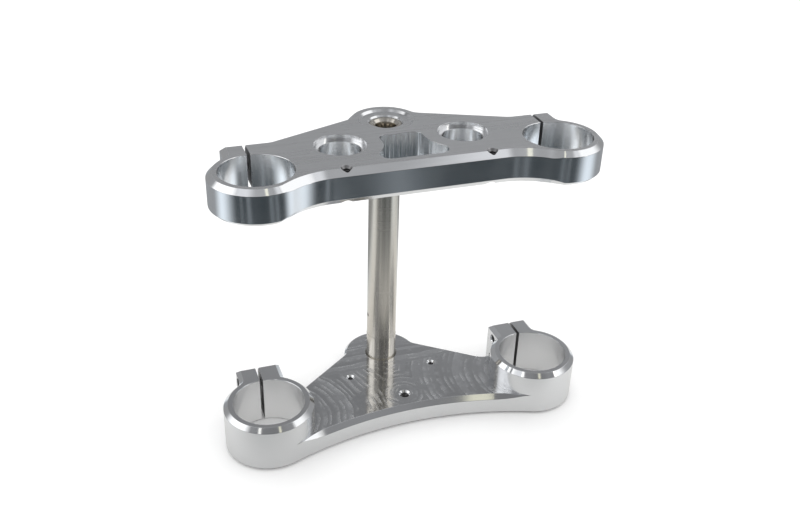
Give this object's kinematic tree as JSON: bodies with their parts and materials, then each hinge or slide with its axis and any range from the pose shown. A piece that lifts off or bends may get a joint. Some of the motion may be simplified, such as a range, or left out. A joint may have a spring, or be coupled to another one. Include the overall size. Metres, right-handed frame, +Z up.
{
  "type": "motorcycle triple clamp",
  "caption": "Billet motorcycle triple clamp: a bevelled top plate and a web with split fork rings, joined by a steering stem.",
  "frame": {"origin": "steering axis at the level of the bottom clamp's underside", "axes": "+Z up along the steering axis, fork legs towards -Y, +X right as seen from the front"},
  "size_m": [0.3, 0.1332, 0.238],
  "materials": {
    "top_clamp": "satin, machined",
    "bottom_clamp": "satin, machined",
    "steering_stem": "fine turned"
  },
  "bodies": {
    "root": {"top_clamp": "top_clamp", "bottom_clamp": "bottom_clamp", "steering_stem": "steering_stem"}
  },
  "joints": []
}
